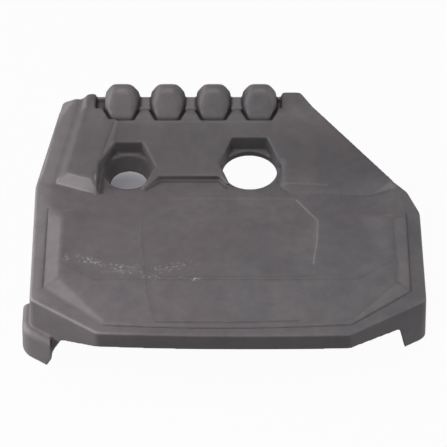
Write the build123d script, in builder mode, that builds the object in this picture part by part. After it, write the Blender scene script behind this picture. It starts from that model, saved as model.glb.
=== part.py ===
from build123d import *
from math import radians, tan
import os

os.makedirs("parts", exist_ok=True)

# Engine cover: one soft moulding that pushes down on four ball studs.
# X runs to the right, Y to the rear of the cover, Z up from the tip of the left foot. Millimetres.

# Levels and walls
FLANGE_Z = 100.0  # flat rim round the front and the sides
FLANGE_EDGE_R = 3.0
REAR_RISE = 27.0  # the left border climbs towards the rear
REAR_RISE_Y = 62.0
REAR_EDGE_RISE = 14.0
REAR_EDGE_SLOPE = 0.45
WALL = 10.0
DRAFT = 4.0  # degrees, the skirt widens downwards
OVERCUT = 5.0  # how far a cutting form runs past what it cuts

# Plan of the rim
FRONT_LEFT = (-169.0, -227.0)
FRONT_MIDDLE = (0.0, -232.0)
FRONT_RIGHT = (168.0, -230.0)
RIGHT_CORNER = (275.0, -168.0)
RIGHT_SIDE = (280.5, 2.0)
DIAGONAL_FRONT = (266.0, 45.0)
DIAGONAL_REAR = (141.0, 197.0)
REAR_RIGHT = (122.0, 229.0)
REAR_LEFT = (-249.0, 229.0)
LEFT_KINK = (-273.0, 56.0)
LEFT_CORNER = (-263.0, -166.0)
OUTLINE_R = 12.0

# Skirt and feet
SKIRT_DROP = 27.0
LEFT_SKIRT_DROP = 50.0
RIGHT_SKIRT_DROP = 34.0
LEFT_FOOT_TIP_X = -244.0
LEFT_FOOT_ROOT_X = -221.0
RIGHT_FOOT_Z = 26.0
RIGHT_FOOT_TIP_X = 249.0
RIGHT_FOOT_ROOT_X = 239.0
FOOT_BACK_Y = -112.0
FOOT_LEAN = 14.0
REAR_SKIRT_Z = 24.0
REAR_SKIRT_FRONT_Y = 205.0
NOTCH_R = 6.0
LIP_OUT = 11.0
LIP_HEIGHT = 49.0
LIP_R = 10.0
LIP_END_X = -236.0
LIP_BACK_Y = -126.0

# Raised panel
PANEL_FRONT_LEFT = (-161.0, -212.0)
PANEL_FRONT_MIDDLE = (0.0, -218.0)
PANEL_FRONT_RIGHT = (171.0, -212.0)
PANEL_RIGHT_CORNER = (255.0, -152.0)
PANEL_RIGHT_REAR = (261.0, 2.0)
PANEL_LEFT_REAR = (-251.0, 12.0)
PANEL_LEFT_CORNER = (-246.0, -145.0)
CREST_RISE = 9.0
FACET_RUN = 22.0
CREASE_Y = -137.0
FRONT_LINE_RISE = 1.2
PANEL_SPARE = 1.0  # cut away again by the crest plane
DISH_LEFT_X = -226.0
DISH_RIGHT_X = 232.0
DISH_CORNER_X = 50.0
DISH_CORNER_Y = 34.0
DISH_TAPER = 77.0  # degrees off the vertical
DISH_STEP = 1.5  # depth at the crease, from where the floor falls to the flange's level
DISH_REAR_Y = 2.0
SHIELD_DEPTH = 0.7
SHIELD_TOP_Y = 30.0
SHIELD_TOP_HALF = 98.0
SHIELD_SHOULDER = (125.0, -14.0)
SHIELD_WAIST = (117.0, -108.0)
SHIELD_FOOT = (97.0, -206.0)
SHIELD_X = 7.0

# Rear deck
DECK_BORDER = 4.0
DECK_DRAFT = 8.0
DECK_FRONT_Y = 68.0
DECK_FRONT_RISE = 8.0
DECK_SLOPE = 0.225
DECK_LEFT_X = -175.0
FLARE_LEFT = ((-93.0, 68.0), (-112.0, 50.0))
FLARE_RIGHT = ((-6.5, 68.0), (4.0, 55.0))
RIGHT_BLOCK_FRONT = (84.0, 41.0)
RIGHT_BLOCK_EDGE_Y = 57.0
RIGHT_BLOCK_CORNER = (207.0, 33.0)
RIGHT_BLOCK_END = (239.0, 45.5)
RIGHT_BLOCK_END_SLOPE = 0.5
LEFT_BLOCK_FRONT = (-244.0, 60.0)
LEFT_BLOCK_CORNER = (-183.0, 37.0)
LEFT_BLOCK_REAR = (-237.0, 229.0)
LEFT_BLOCK_RISE = 14.0
LEFT_BLOCK_SLOPE = 0.15
LEFT_BLOCK_BEVEL = 1.1
LEFT_BLOCK_SIDE = ((-191.0, 50.5), (-149.5, 141.5))
LEFT_BLOCK_SIDE_RISE = 15.3
LEFT_BLOCK_SIDE_SLOPE = 0.85

# Pockets and holes
POCKET_DRAFT = 3.0
POCKET_GAP = 3.5
POCKET_SINK = 0.6
FILLER_X = 38.5
FILLER_Y = 91.0
FILLER_R = 40.0
FILLER_END_HALF = 25.5
FUNNEL_X = -139.5
FUNNEL_Y = 87.0
FUNNEL_TOP_R = 36.0
FUNNEL_END_HALF = 20.0
FUNNEL_BOTTOM_R = 26.0
FUNNEL_DROP = 26.0
FUNNEL_WALL = 7.0

# Row of humps
HUMPS = 4
HUMP_PITCH = 68.5
HUMP_ROW_X = -49.0
HUMP_TOP_RISE = 64.0
HUMP_HALF = 26.0
HUMP_NOSE_HALF = 15.0
HUMP_NOSE_Y = 171.0
HUMP_SHOULDER_Y = 194.0
HUMP_SIDE_RISE = 43.0
HUMP_CAP_RUN = 13.0
HUMP_NOSE_RISE = 6.0
HUMP_TOP_RUN = 18.0
HUMP_BROW_R = 12.0
GROOVE_SIDE = 1.8
GROOVE_NOSE = 4.0
GROOVE_RISE = 22.0
BAR_RISE = 30.0
TAB_END_Y = 189.0
LEFT_SLOT = 12.0
RIGHT_SLOT = 5.5
BAY_WALL = 6.0

# Ball-stud sockets
SOCKET_LEFT_X = -205.0
SOCKET_RIGHT_X = 150.0
SOCKET_FRONT_Y = -112.0
SOCKET_REAR_Y = 98.0
SOCKET_Z = 70.0
BOSS_R = 16.0
STUD_R = 5.0
STUD_DEPTH = 12.0
STUD_LEAD = 1.5
GROMMET_R = 11.0
GROMMET_SEAT = 17.0
GROMMET_RIM_R = 14.0
GROMMET_RIM = 2.5

crest_z = FLANGE_Z + CREST_RISE
skirt_z = FLANGE_Z - SKIRT_DROP
ceiling_z = FLANGE_Z - WALL
pocket_z = FLANGE_Z - POCKET_SINK
groove_z = FLANGE_Z + GROOVE_RISE
bar_z = FLANGE_Z + BAR_RISE
hump_top_z = FLANGE_Z + HUMP_TOP_RISE
rear_y = REAR_LEFT[1]
reach = 2 * RIGHT_SIDE[0]
sockets = [(x, y) for x in (SOCKET_LEFT_X, SOCKET_RIGHT_X) for y in (SOCKET_FRONT_Y, SOCKET_REAR_Y)]
seats = [(x, y, SOCKET_Z) for x, y in sockets]
facet_taper = Vector(1, 0).get_angle(Vector(CREST_RISE, FACET_RUN))


def rim_plan():
    """Plan of the rim, drawn flat on the ground plane."""
    with BuildSketch() as plan:
        with BuildLine():
            ThreePointArc(FRONT_LEFT, FRONT_MIDDLE, FRONT_RIGHT)
            Polyline(
                FRONT_RIGHT, RIGHT_CORNER, RIGHT_SIDE, DIAGONAL_FRONT, DIAGONAL_REAR,
                REAR_RIGHT, REAR_LEFT, LEFT_KINK, LEFT_CORNER, FRONT_LEFT,
            )
        make_face()
        fillet(plan.vertices(), radius=OUTLINE_R)
    return plan.sketch


def skirted_form(inset, top_z):
    """Solid under the rim's plan, drawn in by inset, with draft, from the ground up to top_z."""
    with BuildPart() as form:
        with BuildSketch(Plane.XY.offset(FLANGE_Z)):
            add(rim_plan())
            if inset:
                offset(amount=-inset)
        extrude(amount=-FLANGE_Z, taper=-DRAFT)
        split(bisect_by=Plane.XY.offset(top_z), keep=Keep.BOTTOM)
    return form.part


def rounded_form(inset, top_z, radius):
    """The same solid with the edge of its top rounded."""
    with BuildPart() as form:
        add(skirted_form(inset, top_z))
        fillet(form.faces().sort_by(Axis.Z)[-1].edges(), radius=radius)
    return form.part


def skirt_cut():
    """What is cleared below the skirt: the gap between the front feet, then the sides and rear."""
    left_root_z = FLANGE_Z - LEFT_SKIRT_DROP
    right_root_z = FLANGE_Z - RIGHT_SKIRT_DROP
    back_y = FOOT_BACK_Y + FOOT_LEAN
    front_depth = back_y - FRONT_MIDDLE[1] + 2 * LIP_OUT
    with BuildPart() as cut:
        with BuildSketch(Plane.XZ.offset(-back_y)) as front:
            with BuildLine():
                Polyline(
                    (LEFT_FOOT_TIP_X, -OVERCUT), (LEFT_FOOT_TIP_X, 0),
                    (LEFT_FOOT_ROOT_X, left_root_z), (FRONT_LEFT[0], skirt_z),
                    (FRONT_RIGHT[0], skirt_z), (RIGHT_FOOT_ROOT_X, right_root_z), (RIGHT_FOOT_TIP_X, RIGHT_FOOT_Z),
                    (reach, RIGHT_FOOT_Z), (reach, -OVERCUT), close=True,
                )
            make_face()
            roots = front.vertices().filter_by_position(Axis.Y, left_root_z, skirt_z)
            fillet(roots, radius=NOTCH_R)
        extrude(amount=front_depth)
        with BuildSketch(Plane.YZ) as side:
            with BuildLine():
                Polyline(
                    (FOOT_BACK_Y, -OVERCUT), (FOOT_BACK_Y, 0), (back_y, skirt_z),
                    (REAR_SKIRT_FRONT_Y - FOOT_LEAN, skirt_z), (REAR_SKIRT_FRONT_Y, REAR_SKIRT_Z),
                    (reach, REAR_SKIRT_Z), (reach, -OVERCUT), close=True,
                )
            make_face()
            fillet(side.vertices().filter_by_position(Axis.Y, skirt_z, skirt_z), radius=NOTCH_R)
        extrude(amount=reach, both=True)
    return cut.part


def foot_lip():
    """Thick rounded rim round the outside of the left foot."""
    with BuildPart() as lip:
        add(rounded_form(-LIP_OUT, LIP_HEIGHT, LIP_R))
        with BuildSketch():
            with Locations((LIP_END_X, LIP_BACK_Y)):
                Rectangle(reach, reach, align=(Align.MAX, Align.MAX))
        extrude(amount=LIP_HEIGHT, mode=Mode.INTERSECT)
    return lip.part


def dish_form(drop):
    """What the shallow dish takes out of the panel: sloping sides and a floor that falls to the rear."""
    fall = (CREST_RISE - DISH_STEP) / (DISH_REAR_Y - CREASE_Y)
    floor = Plane((0, CREASE_Y, crest_z - DISH_STEP - drop), z_dir=(0, fall, 1))
    with BuildPart() as dish:
        with BuildSketch(Plane.XY.offset(crest_z - drop)):
            with BuildLine():
                Polyline(
                    (DISH_LEFT_X, DECK_FRONT_Y), (DISH_LEFT_X, CREASE_Y + DISH_CORNER_Y),
                    (DISH_LEFT_X + DISH_CORNER_X, CREASE_Y), (DISH_RIGHT_X - DISH_CORNER_X, CREASE_Y),
                    (DISH_RIGHT_X, CREASE_Y + DISH_CORNER_Y), (DISH_RIGHT_X, DECK_FRONT_Y), close=True,
                )
            make_face()
        extrude(amount=-CREST_RISE - PANEL_SPARE, taper=DISH_TAPER)
        split(bisect_by=floor, keep=Keep.TOP)
    return dish.part


def panel_top(drop):
    """Everything under the panel's crest, front slope and dish, lowered by drop."""
    front_y = PANEL_FRONT_MIDDLE[1]
    with BuildPart() as under:
        with BuildSketch(Plane.YZ):
            with BuildLine():
                Polyline(
                    (DECK_FRONT_Y, 0), (DECK_FRONT_Y, crest_z - drop), (CREASE_Y, crest_z - drop),
                    (front_y, FLANGE_Z + FRONT_LINE_RISE - drop), (front_y, 0), close=True,
                )
            make_face()
        extrude(amount=reach, both=True)
        add(dish_form(drop), mode=Mode.SUBTRACT)
    return under.part


def panel_form():
    """Raised panel: bevelled sides, a front slope, and a shallow dish open to the rear."""
    with BuildPart() as panel:
        with BuildSketch(Plane.XY.offset(FLANGE_Z)):
            with BuildLine():
                ThreePointArc(PANEL_FRONT_LEFT, PANEL_FRONT_MIDDLE, PANEL_FRONT_RIGHT)
                Polyline(
                    PANEL_FRONT_RIGHT, PANEL_RIGHT_CORNER, PANEL_RIGHT_REAR,
                    PANEL_LEFT_REAR, PANEL_LEFT_CORNER, PANEL_FRONT_LEFT,
                )
            make_face()
        extrude(amount=CREST_RISE + PANEL_SPARE, taper=facet_taper)
        add(panel_top(0), mode=Mode.INTERSECT)
    return panel.part


def shield_cut():
    """Shallow shield-shaped recess in the panel, as deep on the front slope as in the dish."""
    half = [(SHIELD_TOP_HALF, SHIELD_TOP_Y), SHIELD_SHOULDER, SHIELD_WAIST, SHIELD_FOOT]
    right = [(SHIELD_X + x, y) for x, y in half]
    left = [(SHIELD_X - x, y) for x, y in reversed(half)]
    with BuildPart() as cut:
        with BuildSketch(Plane.XY.offset(FLANGE_Z - SHIELD_DEPTH)):
            with BuildLine():
                Polyline(*right, *left, close=True)
            make_face()
        extrude(amount=CREST_RISE + OVERCUT)
        add(panel_top(SHIELD_DEPTH), mode=Mode.SUBTRACT)
    return cut.part


def climbing_plane(start, end, rise, slope, drop):
    """Plane that climbs to the rear from the edge between two points of the plan, lowered by drop."""
    edge = Vector(*end) - Vector(*start)
    uphill = Vector(-edge.Y, edge.X).normalized()
    return Plane((*start, FLANGE_Z + rise - drop), z_dir=(-slope * uphill.X, -slope * uphill.Y, 1))


def border_prism(inset):
    """Prism on the flange inside the rim's narrow border, drawn in by inset."""
    with BuildPart() as prism:
        with BuildSketch(Plane.XY.offset(FLANGE_Z - inset)):
            add(rim_plan())
            offset(amount=-DECK_BORDER - inset)
        extrude(amount=HUMP_TOP_RISE + inset, taper=DECK_DRAFT)
    return prism.part


def deck_prism(points, inset):
    """Prism on the flange from a plan, kept inside the rim's narrow border, drawn in by inset."""
    with BuildPart() as prism:
        with BuildSketch(Plane.XY.offset(FLANGE_Z - inset)):
            with BuildLine():
                Polyline(*points, close=True)
            make_face()
            if inset:
                offset(amount=-inset, kind=Kind.INTERSECTION)
        extrude(amount=HUMP_TOP_RISE + inset, taper=DECK_DRAFT)
        add(border_prism(inset), mode=Mode.INTERSECT)
    return prism.part


def facetted_prism(points, inset, facets):
    """The same prism cut off by planes, each given as the first four values of a climbing plane."""
    with BuildPart() as prism:
        add(deck_prism(points, inset))
        for facet in facets:
            split(bisect_by=climbing_plane(*facet, inset), keep=Keep.BOTTOM)
    return prism.part


def rear_rise_form():
    """Wedge by which the left border climbs to the rear, lower along its outer edge."""
    start = (-reach, REAR_RISE_Y)
    end = (LEFT_BLOCK_CORNER[0], REAR_RISE_Y)
    ramp = (start, end, 0, REAR_RISE / (rear_y - REAR_RISE_Y))
    edge = (REAR_LEFT, LEFT_KINK, REAR_EDGE_RISE, REAR_EDGE_SLOPE)
    return facetted_prism([start, end, (end[0], reach), (-reach, reach)], 0, [ramp, edge])


def deck_form(inset):
    """Ramped deck with its right block, drawn in and lowered by inset."""
    front = (FUNNEL_X, DECK_FRONT_Y)
    front_end = (FILLER_X, DECK_FRONT_Y)
    middle = [
        (FUNNEL_X, FLARE_LEFT[1][1]), *reversed(FLARE_LEFT), *FLARE_RIGHT, (FILLER_X, FLARE_RIGHT[1][1]),
        (FILLER_X, FILLER_Y), (RIGHT_BLOCK_CORNER[0], FILLER_Y), (RIGHT_BLOCK_CORNER[0], reach),
        (DECK_LEFT_X, reach), (DECK_LEFT_X, FUNNEL_Y), (FUNNEL_X, FUNNEL_Y),
    ]
    right = [
        RIGHT_BLOCK_FRONT, RIGHT_BLOCK_CORNER, RIGHT_BLOCK_END, (reach, RIGHT_BLOCK_END[1]),
        (reach, reach), (RIGHT_BLOCK_FRONT[0], reach),
    ]
    edge_rise = DECK_FRONT_RISE - DECK_SLOPE * (DECK_FRONT_Y - RIGHT_BLOCK_EDGE_Y)
    facet_slope = edge_rise / (RIGHT_BLOCK_EDGE_Y - RIGHT_BLOCK_FRONT[1])
    ramp = (front, front_end, DECK_FRONT_RISE, DECK_SLOPE)
    facet = (RIGHT_BLOCK_FRONT, RIGHT_BLOCK_CORNER, 0, facet_slope)
    end_facet = (RIGHT_BLOCK_CORNER, RIGHT_BLOCK_END, 0, RIGHT_BLOCK_END_SLOPE)
    with BuildPart() as deck:
        add(facetted_prism(middle, inset, [ramp]))
        add(facetted_prism(right, inset, [ramp, facet, end_facet]))
    return deck.part


def deck_hollow():
    """Hollow under the deck, ended short of the right block's end."""
    with BuildPart() as hollow:
        add(deck_form(WALL))
        split(bisect_by=Plane.YZ.offset(RIGHT_BLOCK_CORNER[0]), keep=Keep.BOTTOM)
    return hollow.part


def left_block_form(inset):
    """Higher block at the left of the deck, bevelled all round, its inner side fading into the deck."""
    pocket_half = FUNNEL_TOP_R + POCKET_GAP
    plan = [
        LEFT_BLOCK_FRONT, LEFT_BLOCK_CORNER, (FUNNEL_X - pocket_half, FUNNEL_Y),
        (FUNNEL_X, FUNNEL_Y + pocket_half), (FUNNEL_X, reach), (LEFT_BLOCK_REAR[0], reach), LEFT_BLOCK_REAR,
    ]
    facets = [
        (LEFT_BLOCK_FRONT, LEFT_BLOCK_CORNER, LEFT_BLOCK_RISE, LEFT_BLOCK_SLOPE),
        (LEFT_BLOCK_FRONT, LEFT_BLOCK_CORNER, 0, LEFT_BLOCK_BEVEL),
        (LEFT_BLOCK_REAR, LEFT_BLOCK_FRONT, 0, LEFT_BLOCK_BEVEL),
        (*LEFT_BLOCK_SIDE, LEFT_BLOCK_SIDE_RISE, LEFT_BLOCK_SIDE_SLOPE),
    ]
    return facetted_prism(plan, inset, facets)


def pocket_cut(x, y, hole_r, end, outset):
    """Six-sided pocket round a hole, sunk a little below the flange, grown all round by outset."""
    half = hole_r + POCKET_GAP
    with BuildPart() as cut:
        with BuildSketch(Plane.XY.offset(pocket_z - outset)):
            with Locations((x, y)):
                Polygon(
                    (-half, 0), (-end, -half), (end, -half), (half, 0), (end, half), (-end, half), align=None,
                )
            if outset:
                offset(amount=outset, kind=Kind.INTERSECTION)
        extrude(amount=HUMP_TOP_RISE + outset, taper=-POCKET_DRAFT)
    return cut.part


def hump_x(index):
    """Middle line of one hump of the row."""
    return HUMP_ROW_X + (index - (HUMPS - 1) / 2) * HUMP_PITCH


def hump_plan(side, nose):
    """Plan of one hump about its own middle line, grown at the sides and at the nose, past the rear."""
    half = HUMP_HALF + side
    nose_half = HUMP_NOSE_HALF + nose
    nose_y = HUMP_NOSE_Y - nose
    shoulder_y = HUMP_SHOULDER_Y - 2 * nose
    with BuildSketch() as plan:
        with BuildLine():
            Polyline(
                (-nose_half, nose_y), (nose_half, nose_y), (half, shoulder_y),
                (half, reach), (-half, reach), (-half, shoulder_y), close=True,
            )
        make_face()
    return plan.sketch


def deck_rear_y(z):
    """Rear face of the deck at a height."""
    return rear_y - DECK_BORDER - (z - FLANGE_Z) * tan(radians(DECK_DRAFT))


def hump_form():
    """One hump about its own middle line: straight sides, a bevelled cap, a rounded nose."""
    side_z = FLANGE_Z + HUMP_SIDE_RISE
    cap_taper = Vector(1, 0).get_angle(Vector(hump_top_z - side_z, HUMP_CAP_RUN))
    root_z = groove_z - OVERCUT
    top_end_y = deck_rear_y(hump_top_z)
    root_end_y = deck_rear_y(root_z)
    with BuildPart() as hump:
        with BuildSketch(Plane.XY.offset(root_z)):
            add(hump_plan(0, 0))
        extrude(amount=side_z - root_z)
        with BuildSketch(Plane.XY.offset(side_z)):
            add(hump_plan(0, 0))
        extrude(amount=hump_top_z - side_z, taper=cap_taper)
        with BuildSketch(Plane.YZ):
            with BuildLine():
                FilletPolyline(
                    (HUMP_NOSE_Y, root_z), (HUMP_NOSE_Y, groove_z + HUMP_NOSE_RISE),
                    (top_end_y - HUMP_TOP_RUN, hump_top_z), (top_end_y, hump_top_z), (root_end_y, root_z),
                    radius=HUMP_BROW_R,
                )
                Line((root_end_y, root_z), (HUMP_NOSE_Y, root_z))
            make_face()
        extrude(amount=reach, both=True, mode=Mode.INTERSECT)
    return hump.part


def hump_bay():
    """What is cleared for the humps: a groove round each, the low bar between, a slot at each end."""
    ends = (HUMPS - 1) / 2 * HUMP_PITCH + HUMP_HALF + GROOVE_SIDE
    left_x = HUMP_ROW_X - ends
    right_x = HUMP_ROW_X + ends
    with BuildPart() as bay:
        with BuildSketch(Plane.XY.offset(bar_z)):
            with Locations((left_x - LEFT_SLOT, TAB_END_Y)):
                Rectangle(right_x - left_x + LEFT_SLOT + RIGHT_SLOT, reach, align=Align.MIN)
        extrude(amount=HUMP_TOP_RISE)
        with BuildSketch(Plane.XY.offset(groove_z)):
            with Locations((left_x - LEFT_SLOT, TAB_END_Y)):
                Rectangle(LEFT_SLOT, reach, align=Align.MIN)
            with Locations((right_x, TAB_END_Y)):
                Rectangle(RIGHT_SLOT, reach, align=Align.MIN)
            for index in range(HUMPS):
                with Locations((hump_x(index), 0)):
                    add(hump_plan(GROOVE_SIDE, GROOVE_NOSE))
            with Locations((0, deck_rear_y(bar_z) - BAY_WALL)):
                Rectangle(reach, reach, align=(Align.CENTER, Align.MAX), mode=Mode.INTERSECT)
        extrude(amount=HUMP_TOP_RISE)
    return bay.part


def funnel_cone(outset):
    """Funnel from the pocket's floor down, grown by outset."""
    with BuildPart() as cone:
        with BuildSketch(Plane.XZ.offset(-FUNNEL_Y)):
            with BuildLine():
                Polyline(
                    (FUNNEL_X, pocket_z), (FUNNEL_X + FUNNEL_TOP_R + outset, pocket_z),
                    (FUNNEL_X + FUNNEL_BOTTOM_R + outset, pocket_z - FUNNEL_DROP),
                    (FUNNEL_X, pocket_z - FUNNEL_DROP), close=True,
                )
            make_face()
        revolve(axis=Axis((FUNNEL_X, FUNNEL_Y, 0), (0, 0, 1)))
    return cone.part


def grommet_body():
    """Outside of one grommet about its own axis: the rim below zero, the seated plug above."""
    with BuildPart() as plug:
        with BuildSketch(Plane.XZ):
            with BuildLine():
                Polyline(
                    (0, -GROMMET_RIM), (GROMMET_RIM_R, -GROMMET_RIM), (GROMMET_RIM_R, 0), (GROMMET_R, 0),
                    (GROMMET_R, GROMMET_SEAT), (0, GROMMET_SEAT), close=True,
                )
            make_face()
        revolve(axis=Axis.Z)
    return plug.part


def cavity_form():
    """Hollow under the cover, with the bosses and the funnel left standing in it."""
    with BuildPart() as cavity:
        add(skirted_form(WALL, ceiling_z))
        add(deck_hollow())
        add(left_block_form(WALL))
        split(bisect_by=Plane.XY.offset(groove_z - WALL), keep=Keep.BOTTOM)
        add(pocket_cut(FUNNEL_X, FUNNEL_Y, FUNNEL_TOP_R, FUNNEL_END_HALF, WALL), mode=Mode.SUBTRACT)
        add(pocket_cut(FILLER_X, FILLER_Y, FILLER_R, FILLER_END_HALF, WALL), mode=Mode.SUBTRACT)
        add(funnel_cone(FUNNEL_WALL), mode=Mode.SUBTRACT)
        with BuildSketch(Plane.XY.offset(SOCKET_Z)):
            with Locations(*sockets):
                Circle(BOSS_R)
        extrude(amount=FLANGE_Z, mode=Mode.SUBTRACT)
    return cavity.part


# The moulding
with BuildPart() as cover:
    add(rounded_form(0, FLANGE_Z, FLANGE_EDGE_R))
    add(foot_lip())
    add(panel_form())
    add(rear_rise_form())
    add(deck_form(0))
    add(left_block_form(0))
    add(hump_bay(), mode=Mode.SUBTRACT)
    for index in range(HUMPS):
        with Locations((hump_x(index), 0)):
            add(hump_form())
    add(pocket_cut(FUNNEL_X, FUNNEL_Y, FUNNEL_TOP_R, FUNNEL_END_HALF, 0), mode=Mode.SUBTRACT)
    add(pocket_cut(FILLER_X, FILLER_Y, FILLER_R, FILLER_END_HALF, 0), mode=Mode.SUBTRACT)
    add(shield_cut(), mode=Mode.SUBTRACT)
    add(cavity_form(), mode=Mode.SUBTRACT)
    add(funnel_cone(0), mode=Mode.SUBTRACT)
    with Locations((FILLER_X, FILLER_Y, FLANGE_Z)):
        Hole(FILLER_R)
    add(skirt_cut(), mode=Mode.SUBTRACT)
    with Locations(*seats):
        add(grommet_body(), mode=Mode.SUBTRACT)
cover.part.label = "cover"
export_step(cover.part, "parts/cover.step")

# The four grommets, each a rubber plug with a round socket for a ball stud
with BuildPart() as grommets:
    with Locations(*seats):
        add(grommet_body())
    with BuildSketch(Plane.XY.offset(SOCKET_Z - GROMMET_RIM)):
        with Locations(*sockets):
            Circle(STUD_R)
    extrude(amount=STUD_DEPTH, mode=Mode.SUBTRACT)
    bottoms = grommets.edges().filter_by(GeomType.CIRCLE).group_by(Axis.Z)[0]
    chamfer(bottoms.group_by(SortBy.RADIUS)[0], length=STUD_LEAD)
grommets.part.label = "grommets"
export_step(grommets.part, "parts/grommets.step")
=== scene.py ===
"""Engine cover: the moulded skin, the rubber grommets and the studio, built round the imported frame."""
from math import cos, radians, sin

import bmesh
import bpy
import numpy as np
from bpy.props import FloatProperty, FloatVectorProperty, IntProperty, PointerProperty
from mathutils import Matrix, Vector


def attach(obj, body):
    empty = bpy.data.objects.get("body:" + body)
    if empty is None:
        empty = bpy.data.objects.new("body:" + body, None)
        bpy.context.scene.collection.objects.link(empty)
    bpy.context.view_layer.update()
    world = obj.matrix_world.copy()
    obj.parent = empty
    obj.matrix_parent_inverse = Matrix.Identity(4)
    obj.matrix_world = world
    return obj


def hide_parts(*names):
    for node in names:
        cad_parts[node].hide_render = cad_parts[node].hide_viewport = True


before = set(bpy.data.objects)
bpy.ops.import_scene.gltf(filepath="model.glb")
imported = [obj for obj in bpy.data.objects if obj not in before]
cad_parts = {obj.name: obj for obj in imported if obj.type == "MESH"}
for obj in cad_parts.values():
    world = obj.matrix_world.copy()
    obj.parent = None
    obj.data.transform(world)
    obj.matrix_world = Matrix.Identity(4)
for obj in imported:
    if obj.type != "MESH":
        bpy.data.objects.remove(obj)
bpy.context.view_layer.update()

bl_info = {
    "name": "Engine cover",
    "version": (1, 0, 0),
    "blender": (4, 5, 0),
    "location": "View3D > Sidebar > Engine cover",
    "description": "Builds the looks of a moulded engine cover round its packed CAD frame",
    "category": "Object",
}

PIXELS = 447

# Lines of the upper side, in plan, in metres
PANEL_LEFT = [(-0.251, 0.010), (-0.246, -0.145)]
PANEL_LEFT_DIAGONAL = [(-0.246, -0.145), (-0.161, -0.212)]
PANEL_FRONT = [(0.001 * x, -0.218 + 0.006 * (x / 166.0) ** 2) for x in range(-160, 171, 30)]
PANEL_RIGHT = [(0.171, -0.212), (0.255, -0.152), (0.261, 0.000)]
CREASE = [(-0.226, -0.103), (-0.176, -0.137), (0.182, -0.137), (0.232, -0.103)]
CREASE_STEP = [(-0.108, -0.1305), (0.122, -0.1300)]
SHIELD_TOP = [(-0.060, 0.030), (0.105, 0.030)]
SHIELD_RIGHT = [(0.105, 0.027), (0.134, -0.016), (0.131, -0.057), (0.124, -0.104)]
SHIELD_RIGHT_FRONT = [(0.124, -0.108), (0.104, -0.206)]
SHIELD_LEFT = [(-0.118, -0.014), (-0.118, -0.067), (-0.110, -0.108)]
SHIELD_LEFT_FRONT = [(-0.110, -0.108), (-0.100, -0.172), (-0.092, -0.206)]
SHIELD_FRONT = [(-0.090, -0.2085), (0.007, -0.2095), (0.100, -0.2065)]
RIGHT_BLOCK_CREASE = [(0.087, 0.057), (0.150, 0.054)]
RIGHT_BLOCK_CORNER = (0.209, 0.0337)
RIGHT_BLOCK_FOOT = [(0.139, 0.0389), (0.175, 0.0361), RIGHT_BLOCK_CORNER, (0.226, 0.0393), (0.241, 0.0476)]
RIGHT_BLOCK_END = [(0.196, 0.0430), (0.238, 0.0550)]
LEFT_BLOCK_FOOT = [(-0.2425, 0.072), (-0.2370, 0.100), (-0.2255, 0.160), (-0.2160, 0.210)]
LEFT_BLOCK_BEVEL = [(-0.2340, 0.080), (-0.2300, 0.100), (-0.2180, 0.160), (-0.2070, 0.226)]
LEFT_BLOCK_WALL = [(-0.1770, 0.042), (-0.1755, 0.090)]
DECK_STEP = [(-0.1120, 0.0475), (-0.0930, 0.0655), (-0.0065, 0.0655), (0.0040, 0.0525)]
DECK_REAR = [(-0.165, 0.1635), (0.060, 0.1635)]
SCUFF = [(-0.212, -0.094), (-0.170, -0.102), (-0.131, -0.118), (-0.087, -0.118), (-0.046, -0.104)]
SCUFF_CREASE = [(-0.107, -0.132), (-0.030, -0.1355)]

# Grooves pressed into the skin: the line, its half width and its depth
SEAMS = [
    (PANEL_LEFT, 0.0012, 0.0006),
    (PANEL_FRONT, 0.0012, 0.0006),
    (PANEL_RIGHT, 0.0012, 0.0006),
    (CREASE, 0.0014, 0.0004),
    (SHIELD_LEFT_FRONT, 0.0012, 0.0003),
    (SHIELD_RIGHT_FRONT, 0.0012, 0.0002),
    (SHIELD_FRONT, 0.0012, 0.0006),
]
# Marks that the finish draws: each line with its half width and its strength
MARKS = {
    # Painted shade along the seams, the creases and the feet of the blocks, broken by noise
    "grime": [
        (PANEL_LEFT, 0.0010, 0.55),
        (PANEL_FRONT, 0.0010, 0.60),
        (PANEL_RIGHT, 0.0010, 0.60),
        (LEFT_BLOCK_FOOT, 0.0014, 0.45),
        (RIGHT_BLOCK_FOOT, 0.0014, 0.30),
        (CREASE, 0.0010, 0.30),
        (CREASE_STEP, 0.0009, 0.35),
        (SHIELD_FRONT, 0.0010, 0.60),
        (SHIELD_LEFT_FRONT, 0.0010, 0.25),
        (SHIELD_RIGHT_FRONT, 0.0010, 0.15),
    ],
    "shaded": [
        (LEFT_BLOCK_WALL, 0.0035, 0.80),
        (DECK_STEP, 0.0030, 0.80),
    ],
    # Painted highlight lines along the shield's edges, the right block's crease and the deck's rear edge
    "rubbed": [
        (SHIELD_RIGHT, 0.0008, 0.45),
        (SHIELD_LEFT, 0.0009, 0.12),
        (SHIELD_TOP, 0.0008, 0.10),
        (RIGHT_BLOCK_CREASE, 0.0012, 0.16),
        (DECK_REAR, 0.0013, 0.10),
    ],
    "scuffed": [
        (SCUFF, 0.0070, 1.0),
        (SCUFF_CREASE, 0.0035, 1.0),
    ],
}
LEAST_MARK = 0.005

# Spans, in metres: 0 outside the first and the last number, 1 between the middle two
DISH_Y = (-0.150, -0.100, 0.012, 0.030)
FACET_END_SIDE = (0.150, 0.170, 0.246, 0.254)
FACET_END_Y = (-0.018, -0.006, 0.012, 0.030)
RIGHT_BEVEL_X = (0.0855, 0.0880, 0.0980, 0.1040)
RIGHT_BEVEL_Y = (0.045, 0.055, 0.092, 0.100)
UNLIT_X = (0.076, 0.082, 0.098, 0.106)
UNLIT_Y = (0.036, 0.044, 0.096, 0.104)
LEFT_BLOCK_FRONT_X = (-0.246, -0.238, -0.186, -0.180)
LEFT_BLOCK_FRONT_Y = (0.040, 0.046, 0.072, 0.080)
BAR_Z = (0.1275, 0.1290, 0.1330, 0.1350)
POCKET_X = (-0.205, -0.195, 0.085, 0.095)
POCKET_Y = (0.020, 0.040, 0.165, 0.175)
FUNNEL_X = (-0.205, -0.195, -0.085, -0.075)
DECK_Y = (0.020, 0.100, 0.155, 0.175)

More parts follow.
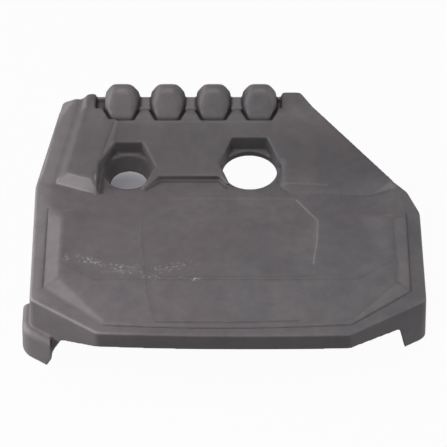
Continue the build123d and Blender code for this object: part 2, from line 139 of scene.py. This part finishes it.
# Steps, in metres: 0 below the first number, 1 above the second
HUMP_Y = (0.160, 0.176)
HUMP_Z = (0.133, 0.140)
BAR_Y = (0.188, 0.194)
TOP_Z = (0.094, 0.097)
BEVEL_Z = (0.1005, 0.1015)
HOLLOW_Z = (0.085, 0.095)
WALL_Z = (0.050, 0.060)
RIM_Z = (0.104, 0.110)
RIM_LEFT = (0.100, 0.180)
LIP_Z = (0.070, 0.085)
LIP_LEFT = (0.240, 0.260)
FLANGE_LEFT = (0.243, 0.258)
FLANGE_EDGE = (-0.002, 0.008)
BEVEL_NEAR = (0.006, 0.014)
BLOCK_SIDE_NEAR = (0.010, 0.016)
CREASE_NEAR = (0.004, 0.012)
END_EDGE = (0.0, 0.003)

# Steps and spans of the normal's parts
TOP_LEAN = (0.5, 0.75)
WALL_LEAN = (0.35, 0.85)
BEVEL_LEAN = (0.55, 0.75, 0.930, 0.942)
LEFTWARD_LEAN = (0.2, 0.7)

# Steps of the relief, in thirds of a millimetre
EDGE_RELIEF = (0.35, 1.0)
HOLLOW_RELIEF = (0.15, 1.0)
FLAT_RELIEF = (0.2, 0.4)
LIP_RELIEF = 0.3
THIRDS_IN_METRE = 3000.0
RELIEF_PASSES = 8

# The dish: where its softening starts and ends to each side, and how far the right side lies further out
DISH_START = (0.150, 0.170)
DISH_REACH_LEFT = 0.214
DISH_REACH_RIGHT = 0.226
DISH_FADE = 0.010
DISH_SHIFT = 0.006

# The right block's bevel: its left edge, how far it starts before it, its y and how steeply it falls
RIGHT_BLOCK_X = 0.085
BEVEL_LEAD = 0.003
BEVEL_FROM_Y = 0.038
BEVEL_TO_Y = 0.102
BEVEL_REAR = (-0.101, -0.088)
BEVEL_FALL = 0.35
FLANGE_Z = 0.1
# The two planes of the right block's top: y, the height there and the slope along y
RIGHT_BLOCK_TOP = [(0.060, 0.1062, 0.225), (0.050, 0.10335, 0.345)]
# The end facet's foot turns by this slope at the corner, and the patch of painted light on it has this
# half width
END_SLOPE = 0.45
END_HALF = 0.011
# The left flange's inner edge: its slope, y and x
FLANGE_SLOPE, FLANGE_Y, FLANGE_X = 0.192, 0.072, -0.2425
# Half width of the strip along the left diagonal that gets no painted shade in its hollows
UNSHADED_HALF = 0.004

# How much painted light pales and painted shade darkens the parts of the cover
PAINTED_LIGHT_LEVEL = {"bevels": 0.13, "left block": 0.45, "flange": 0.25, "end facet": 0.08, "bars": 0.5}
PAINTED_SHADE_LEVEL = {
    "walls": 0.15, "high walls": 0.20, "pockets": 0.55, "funnel": 0.30, "deck": 0.27, "left block": 0.35}
# Share of the painted shade that the funnel's leftward-facing walls lose, as painted light
FUNNEL_LIGHT = 0.8
# Paling of the low edges, as wear and painted highlight: least on the right, more on the left
RIM_LEAST, RIM_MORE = 0.2, 0.8

# Lamps: azimuth from +X towards +Y and elevation, in degrees
LAMPS = {
    "left": (180.0, 12.0),
    "front": (250.0, 45.0),
    "right": (0.0, 12.0),
    "top": (90.0, 86.0),
    "back": (90.0, 10.0),
}
LAMP_EDGE = 1.2
LAMP_DISTANCE = 2.4
FLOOR_HALF = 6.0
SENSOR_MM = 36.0
WHITE = (1.0, 1.0, 1.0, 1.0)


# Settings

class CoverSettings(bpy.types.PropertyGroup):
    """Sizes and colours of the moulding."""

    voxel: FloatProperty(
        name="Voxel", description="Edge of the cells that the skin is drawn from",
        default=0.0013, min=0.0005, subtype="DISTANCE", unit="LENGTH")
    passes: IntProperty(
        name="Softening", description="How often the skin is evened out", default=9, min=0)
    hump_passes: IntProperty(
        name="Hump softening", description="Further passes on the humps", default=42, min=0)
    block_passes: IntProperty(
        name="Block softening", description="Further passes on the blocks", default=45, min=0)
    dish_passes: IntProperty(
        name="Dish softening", description="Further passes on the dish", default=70, min=0)
    bevel: FloatProperty(
        name="Bevel", description="Width of the bevel on the right block's side",
        default=0.010, min=0.001, subtype="DISTANCE", unit="LENGTH")
    triangles: IntProperty(
        name="Triangles", description="Most triangles that the skin keeps", default=190000)
    colour: FloatVectorProperty(
        name="Skin", description="Colour of the moulded skin",
        default=(0.096, 0.082, 0.088), subtype="COLOR", size=3, min=0.0, max=1.0)
    cool: FloatVectorProperty(
        name="Neutral skin", description="Colour of the patches without the warm tint",
        default=(0.0785, 0.0735, 0.0805), subtype="COLOR", size=3, min=0.0, max=1.0)
    # Colour of the paler tone, of edges that are partly worn and partly painted highlight, and of the
    # painted light on lit facets
    pale: FloatVectorProperty(
        name="Pale", description="Colour where the skin is rubbed or dusty",
        default=(0.235, 0.215, 0.222), subtype="COLOR", size=3, min=0.0, max=1.0)
    # Colour of the painted shade in the hollows, seams, creases, walls and pockets
    dark: FloatVectorProperty(
        name="Painted shade", description="Colour in the grooves and creases",
        default=(0.040, 0.037, 0.039), subtype="COLOR", size=3, min=0.0, max=1.0)
    # Colour of the real scuffs and of the painted highlight lines along the step edges
    scuff_and_highlight: FloatVectorProperty(
        name="Scuffs", description="Colour of the scraped specks",
        default=(0.34, 0.33, 0.33), subtype="COLOR", size=3, min=0.0, max=1.0)
    roughness: FloatProperty(
        name="Roughness", description="Roughness of the skin",
        default=0.62, min=0.0, max=1.0, subtype="FACTOR")
    shine: FloatProperty(
        name="Shine", description="Level of the mirrored light",
        default=0.35, min=0.0, max=1.0, subtype="FACTOR")


class GrommetSettings(bpy.types.PropertyGroup):
    """Colour and finish of the rubber grommets."""

    colour: FloatVectorProperty(
        name="Rubber", description="Colour of the rubber",
        default=(0.022, 0.022, 0.023), subtype="COLOR", size=3, min=0.0, max=1.0)
    bloom: FloatProperty(
        name="Bloom", description="How many times paler the rubber is where it has bloomed", default=2.2)
    roughness: FloatProperty(
        name="Roughness", description="Roughness of the rubber",
        default=0.7, min=0.0, max=1.0, subtype="FACTOR")


class StageSettings(bpy.types.PropertyGroup):
    """Camera, lamps and floor."""

    distance: FloatProperty(
        name="Distance", description="From the camera to the point it looks at",
        default=2.2687, subtype="DISTANCE", unit="LENGTH")
    elevation: FloatProperty(
        name="Elevation", description="Height of the camera above the horizon",
        default=radians(45.0), subtype="ANGLE", unit="ROTATION")
    focal: FloatProperty(
        name="Focal length", description="In pixels of the picture", default=1600.0, subtype="PIXEL")
    aim: FloatVectorProperty(
        name="Aim", description="Point that the camera looks at",
        default=(0.0, -0.021, 0.1), subtype="XYZ", unit="LENGTH", size=3)
    left: FloatProperty(
        name="Left lamp", description="Power of the low lamp on the left", default=65.0, unit="POWER")
    front: FloatProperty(
        name="Front lamp", description="Power of the lamp at the front", default=29.0, unit="POWER")
    right: FloatProperty(
        name="Right lamp", description="Power of the low lamp on the right", default=31.0, unit="POWER")
    top: FloatProperty(
        name="Top lamp", description="Power of the lamp overhead", default=16.5, unit="POWER")
    back: FloatProperty(
        name="Back lamp", description="Power of the low lamp behind", default=9.0, unit="POWER")
    world: FloatProperty(
        name="World", description="Strength of the even light", default=0.06)
    floor: FloatVectorProperty(
        name="Floor", description="Colour of the floor to the light",
        default=(0.12, 0.12, 0.12), subtype="COLOR", size=3)
    shown: FloatVectorProperty(
        name="Shown floor", description="Colour of the floor to the camera",
        default=(0.48, 0.47, 0.51), subtype="COLOR", size=3)
    white: FloatProperty(
        name="White", description="Share of the floor that shows no shadow",
        default=0.96, min=0.0, max=1.0, subtype="FACTOR")
    shade: FloatVectorProperty(
        name="Shade", description="Middle of the shade on the floor under the cover",
        default=(-0.150, 0.050, 0.0), subtype="XYZ", unit="LENGTH", size=3)
    shade_reach: FloatVectorProperty(
        name="Shade reach", description="Half width and half depth of the shade",
        default=(0.105, 0.190), unit="LENGTH", size=2)


# Shader maths

class Value:
    """A socket whose operators add Math nodes."""

    def __init__(self, finish, socket):
        self.finish = finish
        self.socket = socket

    def math(self, operation, *others):
        """A Math node on this value and the others."""
        inputs = {f"in{i}": value for i, value in enumerate((self, *others))}
        return self.finish.node("ShaderNodeMath", {"operation": operation}, **inputs)

    def __add__(self, other):
        return self.math("ADD", other)

    __radd__ = __add__

    def __sub__(self, other):
        return self.math("SUBTRACT", other)

    def __rsub__(self, other):
        return self.finish.node("ShaderNodeMath", {"operation": "SUBTRACT"}, in0=other, in1=self)

    def __mul__(self, other):
        return self.math("MULTIPLY", other)

    __rmul__ = __mul__

    def __truediv__(self, other):
        return self.math("DIVIDE", other)

    def __rtruediv__(self, other):
        return self.finish.node("ShaderNodeMath", {"operation": "DIVIDE"}, in0=other, in1=self)

    def most(self, other):
        """The larger of two values."""
        return self.math("MAXIMUM", other)

    def ramp(self, low, high):
        """0 below low and 1 above high, smooth between."""
        return self.finish.node(
            "ShaderNodeMapRange", {"interpolation_type": "SMOOTHSTEP"},
            **{"Value": self, "From Min": low, "From Max": high})


class Finish:
    """A material and the nodes that make it."""

    def __init__(self, name):
        self.material = bpy.data.materials.new(name)
        self.material.use_nodes = True
        self.tree = self.material.node_tree
        self.tree.nodes.clear()
        self.output = self.tree.nodes.new("ShaderNodeOutputMaterial")

    def node(self, kind, settings=None, output=0, **inputs):
        """Adds a node: its settings first, then each socket's value or link, by name or as in0, in1."""
        made = self.tree.nodes.new(kind)
        for key, value in (settings or {}).items():
            setattr(made, key, value)
        for key, value in inputs.items():
            index = int(key[2:]) if key[:2] == "in" and key[2:].isdigit() else key
            if isinstance(value, Value):
                self.tree.links.new(value.socket, made.inputs[index])
            else:
                made.inputs[index].default_value = value
        return Value(self, made.outputs[output])

    def place(self):
        """Object coordinates, in metres."""
        return self.node("ShaderNodeTexCoord", output="Object")

    def axis(self, vector, name):
        """One coordinate of a vector."""
        return self.node("ShaderNodeSeparateXYZ", output=name, Vector=vector)

    def noise(self, vector, scale, detail, rough, distortion=0.0):
        """Noise between 0 and 1, about 0.5 in the mean."""
        return self.node(
            "ShaderNodeTexNoise", Vector=vector, Scale=scale, Detail=detail, Roughness=rough,
            Distortion=distortion)

    def attribute(self, name):
        """A number that the mesh holds at each point."""
        return self.node("ShaderNodeAttribute", {"attribute_name": name}, output="Fac")

    def mix(self, factor, first, second):
        """Colour that goes from first to second as factor goes from 0 to 1."""
        return self.node(
            "ShaderNodeMix", {"data_type": "RGBA"}, output=2, in0=factor, in6=first, in7=second)

    def blend(self, factor, first, second):
        """Shader that goes from first to second as factor goes from 0 to 1."""
        return self.node("ShaderNodeMixShader", in0=factor, in1=first, in2=second)

    def bump(self, height, strength, distance):
        """Normal that a height tilts."""
        return self.node("ShaderNodeBump", Height=height, Strength=strength, Distance=distance)

    def close(self, shader):
        """Links the shader to the output and returns the material."""
        self.tree.links.new(shader.socket, self.output.inputs["Surface"])
        return self.material


def rgba(colour):
    """A colour with full alpha."""
    return (*colour, 1.0)


def moulded_finish(settings):
    """Matte moulded skin: blotched grey with painted light lighter to the left, fine grain, paler edges
    that are partly wear and partly painted highlight, painted light on lit facets, scuffs, painted
    highlight lines along step edges, and painted shade in the hollows, seams, creases, walls and pockets.
    """
    skin = Finish("moulded_foam")
    vector = skin.place()
    x = skin.axis(vector, "X")
    blotch = skin.noise(vector, scale=7.0, detail=3.0, rough=0.55)
    tint = skin.noise(vector, scale=12.0, detail=2.0, rough=0.5, distortion=0.6)
    mottle = skin.noise(vector, scale=60.0, detail=4.0, rough=0.6)
    grain = skin.noise(vector, scale=900.0, detail=2.0, rough=0.6)
    pores = skin.noise(vector, scale=340.0, detail=2.0, rough=0.5)
    specks = skin.noise(vector, scale=210.0, detail=3.0, rough=0.75)
    clumps = skin.noise(vector, scale=70.0, detail=2.0, rough=0.6)
    breaks = skin.noise(vector, scale=160.0, detail=2.0, rough=0.5)
    neutral = (tint + x * 0.9).ramp(0.42, 0.62)
    colour = skin.mix(neutral, rgba(settings.colour), rgba(settings.cool))
    # Tone: random blotches, mottle and grain, plus painted light, lighter towards the left where the light
    # falls
    tone = (blotch - 0.5) * 0.45 + (mottle - 0.5) * 0.35 + (grain - 0.5) * 0.2 - x * 0.12 + 0.3
    # Paler with the tone, at edges (wear and painted highlight) and where painted light is drawn
    wear_and_painted_light = (tone + skin.attribute("edge") * 0.35 + skin.attribute("dusty")).ramp(0.0, 1.0)
    colour = skin.mix(wear_and_painted_light, colour, rgba(settings.pale))
    # Painted shade in the hollows and along the seams and creases, on walls, pockets and the deck, and by
    # the left block's wall and the deck's step
    grooves = (skin.attribute("hollow") * 0.7).most(skin.attribute("grime") * breaks.ramp(0.2, 0.6))
    painted_shade_amount = grooves.most(skin.attribute("sheltered")).most(skin.attribute("shaded"))
    colour = skin.mix(painted_shade_amount, colour, rgba(settings.dark))
    # Real scuffs, and the painted highlight lines along the step edges, both in the scuff colour
    scraped = skin.attribute("scuffed") * specks.ramp(0.54, 0.62) * clumps.ramp(0.38, 0.55)
    marks = scraped.most(skin.attribute("rubbed") * breaks.ramp(0.22, 0.52))
    colour = skin.mix(marks, colour, rgba(settings.scuff_and_highlight))
    height = grain * 0.35 + pores * 0.4 + mottle * 0.6
    return skin.close(skin.node("ShaderNodeBsdfPrincipled", **{
        "Base Color": colour,
        "Roughness": (mottle - 0.5) * 0.15 + settings.roughness,
        "Specular IOR Level": settings.shine,
        "Normal": skin.bump(height, strength=0.35, distance=0.0006),
    }))


def rubber_finish(settings):
    """Dark rubber with a faint bloom."""
    rubber = Finish("grommet_rubber")
    vector = rubber.place()
    bloom = rubber.noise(vector, scale=160.0, detail=3.0, rough=0.6)
    grain = rubber.noise(vector, scale=1500.0, detail=2.0, rough=0.5)
    dull = rgba(settings.bloom * c for c in settings.colour)
    return rubber.close(rubber.node("ShaderNodeBsdfPrincipled", **{
        "Base Color": rubber.mix(bloom.ramp(0.45, 0.8), rgba(settings.colour), dull),
        "Roughness": (bloom - 0.5) * 0.2 + settings.roughness,
        "Normal": rubber.bump(grain, strength=0.3, distance=0.0003),
    }))


def floor_finish(settings):
    """Dull to the light; white to the camera but for a share of the shadow and the shade under the cover.

    The shade is an ellipse: it fades as (x / half width)^2 + (y / half depth)^2 goes from 0.4 to 1.
    """
    paint = Finish("floor")
    vector = paint.place()
    seen = paint.node("ShaderNodeLightPath", output="Is Camera Ray")
    for ray in ("Is Glossy Ray", "Is Transmission Ray"):
        seen = seen.most(paint.node("ShaderNodeLightPath", output=ray))
    across = (paint.axis(vector, "X") - settings.shade[0]) / settings.shade_reach[0]
    along = (paint.axis(vector, "Y") - settings.shade[1]) / settings.shade_reach[1]
    share = seen * (across * across + along * along).ramp(0.4, 1.0) * settings.white
    dull = paint.node("ShaderNodeBsdfDiffuse", Color=rgba(settings.floor))
    shown = paint.node("ShaderNodeBsdfDiffuse", Color=rgba(settings.shown))
    white = paint.node("ShaderNodeEmission", Color=WHITE, Strength=1.0)
    return paint.close(paint.blend(share, paint.blend(seen, dull, shown), white))


# Meshes

def read_mesh(mesh):
    """Points and edges of a mesh as whole arrays."""
    points = np.empty(len(mesh.vertices) * 3)
    mesh.vertices.foreach_get("co", points)
    edges = np.empty(len(mesh.edges) * 2, dtype=np.int64)
    mesh.edges.foreach_get("vertices", edges)
    return points.reshape(-1, 3), edges.reshape(-1, 2)


def write_points(mesh, points):
    """Puts the points into the mesh."""
    mesh.vertices.foreach_set("co", points.ravel())
    mesh.update()


def read_normals(mesh):
    """The normal at each point of a mesh."""
    normals = np.empty(len(mesh.vertices) * 3)
    mesh.vertices.foreach_get("normal", normals)
    return normals.reshape(-1, 3)


def write_attribute(mesh, name, value):
    """Keeps a number at each point, for the finish to read."""
    mesh.attributes.new(name, "FLOAT", "POINT").data.foreach_set("value", value)


def neighbours_mean(points, edges):
    """Mean of each point's neighbours: the sum over its edges of the far end, divided by their number."""
    count = len(points)
    degree = np.bincount(edges.ravel(), minlength=count)
    total = np.stack([
        np.bincount(edges[:, 0], points[edges[:, 1], axis], count)
        + np.bincount(edges[:, 1], points[edges[:, 0], axis], count) for axis in range(3)], axis=1)
    return total / np.maximum(degree, 1)[:, None]


def soften(points, edges, passes, weight=0.5):
    """Evens out a surface: each pass moves every point by weight towards its neighbours' mean."""
    for _ in range(passes):
        points = points + weight * (neighbours_mean(points, edges) - points)
    return points


def soften_part(points, edges, weight, passes):
    """Evens out the points with a weight, by half of that weight in each pass."""
    chosen = weight > 0.0
    places = np.cumsum(chosen) - 1
    inner = places[edges[chosen[edges].all(axis=1)]]
    points = points.copy()
    points[chosen] = soften(points[chosen], inner, passes, 0.5 * weight[chosen, None])
    return points


def smoothstep(value, low, high):
    """0 below low, 1 above high, 3t^2 - 2t^3 between."""
    t = np.clip((value - low) / (high - low), 0.0, 1.0)
    return t * t * (3.0 - 2.0 * t)


def between(value, start, low, high, end):
    """1 from low to high, 0 outside start and end, smooth between."""
    return smoothstep(value, start, low) * (1.0 - smoothstep(value, high, end))


def line_distance(points, line):
    """Distance in plan to a polyline.

    To a part from a to b it is |p - a - t (b - a)|, with t = (p - a).(b - a) / |b - a|^2 kept in 0..1.
    """
    flat = points[:, :2]
    nearest = np.full(len(flat), np.inf)
    for start, end in zip(line[:-1], line[1:]):
        run = np.subtract(end, start)
        share = np.clip((flat - start) @ run / (run @ run), 0.0, 1.0)
        nearest = np.minimum(nearest, np.linalg.norm(flat - start - share[:, None] * run, axis=1))
    return nearest


def bell(points, line, half):
    """exp(-(d / half)^2) with the distance d in plan to a line."""
    return np.exp(-(line_distance(points, line) / half) ** 2)


def near(points, line, step):
    """1 near a line in plan, 0 far from it, smooth over the step."""
    return 1.0 - smoothstep(line_distance(points, line), *step)


def top_share(points, normals):
    """1 on the upper side of the cover, 0 on walls and on the hollow under it."""
    return smoothstep(normals[:, 2], *TOP_LEAN) * smoothstep(points[:, 2], *TOP_Z)


def hump_weight(points):
    """1 on the caps of the humps at the rear, 0 elsewhere, with a soft edge."""
    return smoothstep(points[:, 1], *HUMP_Y) * smoothstep(points[:, 2], *HUMP_Z)


def dish_weight(points, top):
    """1 where the panel's dish rises to its side facets and round the facets' rear ends."""
    x, y = points[:, 0], points[:, 1]
    side = np.where(x < 0.0, -x, x - DISH_SHIFT)
    reach = np.where(x < 0.0, DISH_REACH_LEFT, DISH_REACH_RIGHT)
    rise = between(side, *DISH_START, reach, reach + DISH_FADE) * between(y, *DISH_Y)
    ends = between(side, *FACET_END_SIDE) * between(y, *FACET_END_Y)
    return np.maximum(rise, ends) * top


def block_weight(points, top):
    """1 on the left block's outer bevel and on the right block's bevel."""
    left = near(points, LEFT_BLOCK_BEVEL, BEVEL_NEAR)
    right = between(points[:, 0], *RIGHT_BEVEL_X) * between(points[:, 1], *RIGHT_BEVEL_Y)
    return np.maximum(left, right) * top


def crease_weight(points, top):
    """1 along the right end of the panel's crease."""
    return near(points, CREASE[-2:], CREASE_NEAR) * top


def drawn_marks(points, top, marks):
    """Strongest of the marks at each point: strength times the bell of its line, on the upper side."""
    value = np.zeros(len(points))
    for line, half, strength in marks:
        value = np.maximum(value, strength * bell(points, line, half))
    return value * top


def bevel_height(points, width):
    """Highest z beside the right block's left edge: the block's top less a share of what x lacks."""
    x, y = points[:, 0], points[:, 1]
    block = np.minimum(*(height + slope * (y - start) for start, height, slope in RIGHT_BLOCK_TOP))
    inside = (x > RIGHT_BLOCK_X - BEVEL_LEAD) & (x < RIGHT_BLOCK_X + width)
    inside &= (y > BEVEL_FROM_Y) & (y < BEVEL_TO_Y)
    fall = BEVEL_FALL * (RIGHT_BLOCK_X + width - x) * smoothstep(-y, *BEVEL_REAR)
    return np.where(inside, np.maximum(block - fall, FLANGE_Z), np.inf)


def shaped_points(mesh, settings):
    """The skin's points, softened, with rounder humps, the right block's bevel and the pressed seams.

    A seam lowers a point by its depth times the bell of its line.
    """
    points, edges = read_mesh(mesh)
    points = soften(points, edges, settings.passes)
    write_points(mesh, points)
    top = top_share(points, read_normals(mesh))
    points[:, 2] = np.minimum(points[:, 2], bevel_height(points, settings.bevel))
    points = soften_part(points, edges, hump_weight(points), settings.hump_passes)
    points = soften_part(points, edges, dish_weight(points, top), settings.dish_passes)
    points = soften_part(points, edges, block_weight(points, top), settings.block_passes)
    points = soften_part(points, edges, crease_weight(points, top), settings.dish_passes)
    for line, half, depth in SEAMS:
        points[:, 2] -= depth * top * bell(points, line, half)
    return points, edges, top


def relief(mesh, points, edges):
    """How far each point stands out of its evened surroundings, n . (p - even), in thirds of a mm."""
    even = soften(points, edges, RELIEF_PASSES)
    return np.einsum("ij,ij->i", read_normals(mesh), points - even) * THIRDS_IN_METRE


def add_wear_and_painted_shading(mesh, points, edges, top):
    """Writes edge, hollow, dusty and sheltered, which the finish turns paler and darker.

    Edges count low on the cover and most on its left, as wear and painted highlight; hollows count high on
    it, as painted shade.
    The bevels, the left flange, the left block's front, the end facet and the bars get painted light, as
    if lit.
    Walls, pockets, the deck and the left block's side get painted shade.
    Walls, pockets, the deck and the left block's side are sheltered.
    """
    x, y, z = points.T
    across, _, up = read_normals(mesh).T
    offset = relief(mesh, points, edges)

    bars = smoothstep(y, *BAR_Y) * between(z, *BAR_Z)
    side = near(points, LEFT_BLOCK_BEVEL, BLOCK_SIDE_NEAR)
    flange = smoothstep(FLANGE_SLOPE * (y - FLANGE_Y) + FLANGE_X - x, *FLANGE_EDGE)
    bevels = between(up, *BEVEL_LEAN) * (1.0 - side) * (1.0 - smoothstep(offset, *FLAT_RELIEF))
    front = between(x, *LEFT_BLOCK_FRONT_X) * between(y, *LEFT_BLOCK_FRONT_Y)
    corner_x, corner_y = RIGHT_BLOCK_CORNER
    end = bell(points, RIGHT_BLOCK_END, END_HALF)
    end *= smoothstep(y - corner_y - END_SLOPE * np.maximum(x - corner_x, 0.0), *END_EDGE)
    # Painted light: the tilted bevels, the left block's front, the left flange, the right block's end
    # facet and the shadowed bars between the humps are paled as if lit, but not on the right block's bevel
    dusty = (PAINTED_LIGHT_LEVEL["bevels"] + PAINTED_LIGHT_LEVEL["left block"] * front) * bevels * smoothstep(z, *BEVEL_Z)
    dusty *= 1.0 - between(x, *UNLIT_X) * between(y, *UNLIT_Y)
    dusty += PAINTED_LIGHT_LEVEL["flange"] * np.maximum(flange, smoothstep(-x, *FLANGE_LEFT)) + PAINTED_LIGHT_LEVEL["end facet"] * end
    dusty = np.maximum(dusty, PAINTED_LIGHT_LEVEL["bars"] * bars) * top

    # Painted shade: steep walls darker, more on high walls and in the pockets, less in the funnel, whose
    # leftward walls lose more of it as painted light; the deck and the left block's side darker too
    pockets = between(x, *POCKET_X) * between(y, *POCKET_Y)
    funnel = pockets * between(x, *FUNNEL_X)
    wall = PAINTED_SHADE_LEVEL["walls"] + PAINTED_SHADE_LEVEL["high walls"] * smoothstep(z, *WALL_Z)
    wall = wall + PAINTED_SHADE_LEVEL["pockets"] * pockets - PAINTED_SHADE_LEVEL["funnel"] * funnel
    lit = FUNNEL_LIGHT * funnel * smoothstep(-across, *LEFTWARD_LEAN)
    wall *= (1.0 - smoothstep(up, *WALL_LEAN)) * (1.0 - lit)
    deck = PAINTED_SHADE_LEVEL["deck"] * between(y, *DECK_Y) * (1.0 - bevels) * (1.0 - flange)
    sheltered = np.maximum(wall, np.maximum(deck, PAINTED_SHADE_LEVEL["left block"] * side))

    # Paler convex edges, partly wear and partly painted highlight: only low on the cover, least on the
    # right and most on the left where the light falls, more at the left foot's lip
    rim = (1.0 - smoothstep(z, *RIM_Z)) * (RIM_LEAST + RIM_MORE * smoothstep(-x, *RIM_LEFT))
    lip = smoothstep(-x, *LIP_LEFT) * (1.0 - smoothstep(z, *LIP_Z))
    edge = smoothstep(offset + LIP_RELIEF * lip, *EDGE_RELIEF) * rim
    # Painted shade in the hollows, high on the cover, left out along the left diagonal
    unshaded_strip = bell(points, PANEL_LEFT_DIAGONAL, UNSHADED_HALF)
    hollow = smoothstep(-offset, *HOLLOW_RELIEF) * smoothstep(z, *HOLLOW_Z) * (1.0 - unshaded_strip)

    write_attribute(mesh, "edge", edge)
    write_attribute(mesh, "hollow", hollow)
    write_attribute(mesh, "dusty", dusty)
    write_attribute(mesh, "sheltered", sheltered)


def add_marks(mesh, points, top):
    """Writes the drawn marks and returns which points they touch."""
    touched = np.zeros(len(points), dtype=bool)
    for name, marks in MARKS.items():
        value = drawn_marks(points, top, marks)
        touched |= value > LEAST_MARK
        write_attribute(mesh, name, value)
    return touched


def merged_copy(mesh):
    """A copy of a mesh with its loose triangles joined."""
    copy = mesh.copy()
    merged = bmesh.new()
    merged.from_mesh(copy)
    bmesh.ops.remove_doubles(merged, verts=merged.verts, dist=1e-6)
    merged.to_mesh(copy)
    merged.free()
    return copy


def evaluated(piece):
    """The mesh of a piece with its modifiers applied and taken off."""
    graph = bpy.context.evaluated_depsgraph_get()
    mesh = bpy.data.meshes.new_from_object(piece.evaluated_get(graph))
    piece.modifiers.clear()
    piece.data = mesh
    return mesh


def remeshed(piece, voxel):
    """Draws the skin of a piece anew from even cells."""
    skin = piece.modifiers.new("skin", "REMESH")
    skin.mode = "VOXEL"
    skin.voxel_size = voxel
    return evaluated(piece)


def thinned(piece, triangles, kept):
    """Takes triangles away where the skin is even, but not at the kept points."""
    mesh = piece.data
    mesh.calc_loop_triangles()
    spare = piece.vertex_groups.new(name="spare")
    spare.add(np.flatnonzero(~kept).tolist(), 1.0, "REPLACE")
    thin = piece.modifiers.new("thin", "DECIMATE")
    thin.ratio = min(1.0, triangles / len(mesh.loop_triangles))
    thin.vertex_group = spare.name
    mesh = evaluated(piece)
    piece.vertex_groups.clear()
    return mesh


# Operators

class COVER_OT_moulding(bpy.types.Operator):
    """Draws the moulded skin from the cover's solid, with soft edges, and gives it its finish."""

    bl_idname = "engine_cover.moulding"
    bl_label = "Moulding"

    def execute(self, context):
        settings = context.scene.cover_settings
        piece = bpy.data.objects.new("moulding", merged_copy(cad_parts["cover"].data))
        context.scene.collection.objects.link(piece)
        mesh = remeshed(piece, settings.voxel)
        points, edges, top = shaped_points(mesh, settings)
        write_points(mesh, points)
        add_wear_and_painted_shading(mesh, points, edges, top)
        mesh = thinned(piece, settings.triangles, add_marks(mesh, points, top))
        mesh.name = "moulding"
        mesh.polygons.foreach_set("use_smooth", np.ones(len(mesh.polygons), dtype=bool))
        mesh.materials.clear()
        mesh.materials.append(moulded_finish(settings))
        mesh.update()
        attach(piece, "root")
        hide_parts("cover")
        return {"FINISHED"}


class COVER_OT_grommets(bpy.types.Operator):
    """Gives the four grommets their rubber."""

    bl_idname = "engine_cover.grommets"
    bl_label = "Grommets"

    def execute(self, context):
        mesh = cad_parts["grommets"].data
        mesh.materials.clear()
        mesh.materials.append(rubber_finish(context.scene.grommet_settings))
        return {"FINISHED"}


class COVER_OT_stage(bpy.types.Operator):
    """Sets up the floor, the lamps and the camera."""

    bl_idname = "engine_cover.stage"
    bl_label = "Stage"

    def execute(self, context):
        scene = context.scene
        settings = scene.stage_settings
        scene.view_settings.view_transform = "Standard"
        self.floor(scene, settings)
        self.lamps(scene, settings)
        self.camera(scene, settings)
        return {"FINISHED"}

    def floor(self, scene, settings):
        """A flat square under the cover."""
        corners = [(FLOOR_HALF * x, FLOOR_HALF * y, 0.0) for x, y in ((-1, -1), (1, -1), (1, 1), (-1, 1))]
        mesh = bpy.data.meshes.new("floor")
        mesh.from_pydata(corners, [], [(0, 1, 2, 3)])
        mesh.materials.append(floor_finish(settings))
        floor = bpy.data.objects.new("floor", mesh)
        scene.collection.objects.link(floor)

    def lamps(self, scene, settings):
        """Soft square lamps that look at the aim point, and an even world."""
        aim = Vector(settings.aim)
        for name, (azimuth, elevation) in LAMPS.items():
            turn, lift = radians(azimuth), radians(elevation)
            towards = Vector((cos(turn) * cos(lift), sin(turn) * cos(lift), sin(lift)))
            light = bpy.data.lights.new(name, "AREA")
            light.shape = "SQUARE"
            light.size = LAMP_EDGE
            light.energy = getattr(settings, name)
            lamp = bpy.data.objects.new(name, light)
            lamp.location = aim + LAMP_DISTANCE * towards
            lamp.rotation_euler = towards.to_track_quat("Z", "Y").to_euler()
            scene.collection.objects.link(lamp)
        world = bpy.data.worlds.new("studio")
        world.use_nodes = True
        background = world.node_tree.nodes["Background"]
        background.inputs["Color"].default_value = WHITE
        background.inputs["Strength"].default_value = settings.world
        scene.world = world

    def camera(self, scene, settings):
        """Looks along +Y and down by the elevation, at the aim point."""
        lens = bpy.data.cameras.new("camera")
        lens.sensor_width = SENSOR_MM
        lens.lens = SENSOR_MM * settings.focal / PIXELS
        eye = bpy.data.objects.new("camera", lens)
        back = Vector((0.0, -cos(settings.elevation), sin(settings.elevation)))
        eye.location = Vector(settings.aim) + settings.distance * back
        eye.rotation_euler = (radians(90.0) - settings.elevation, 0.0, 0.0)
        scene.collection.objects.link(eye)
        scene.camera = eye


class COVER_PT_panel(bpy.types.Panel):
    """Lists the settings and the operators."""

    bl_idname = "COVER_PT_panel"
    bl_label = "Engine cover"
    bl_space_type = "VIEW_3D"
    bl_region_type = "UI"
    bl_category = "Engine cover"

    def draw(self, context):
        for name, operator in STEPS.items():
            group = getattr(context.scene, name)
            box = self.layout.box()
            for key in group.bl_rna.properties.keys():
                if key not in ("name", "rna_type"):
                    box.prop(group, key)
            box.operator(operator.bl_idname)


GROUPS = {
    "stage_settings": StageSettings,
    "cover_settings": CoverSettings,
    "grommet_settings": GrommetSettings,
}
STEPS = {
    "stage_settings": COVER_OT_stage,
    "cover_settings": COVER_OT_moulding,
    "grommet_settings": COVER_OT_grommets,
}
CLASSES = (*GROUPS.values(), *STEPS.values(), COVER_PT_panel)


def register():
    for each in CLASSES:
        bpy.utils.register_class(each)
    for name, group in GROUPS.items():
        setattr(bpy.types.Scene, name, PointerProperty(type=group))


def unregister():
    for name in GROUPS:
        delattr(bpy.types.Scene, name)
    for each in reversed(CLASSES):
        bpy.utils.unregister_class(each)


def main():
    register()
    bpy.ops.engine_cover.stage()
    bpy.ops.engine_cover.moulding()
    bpy.ops.engine_cover.grommets()


if __name__ == "__main__":
    main()
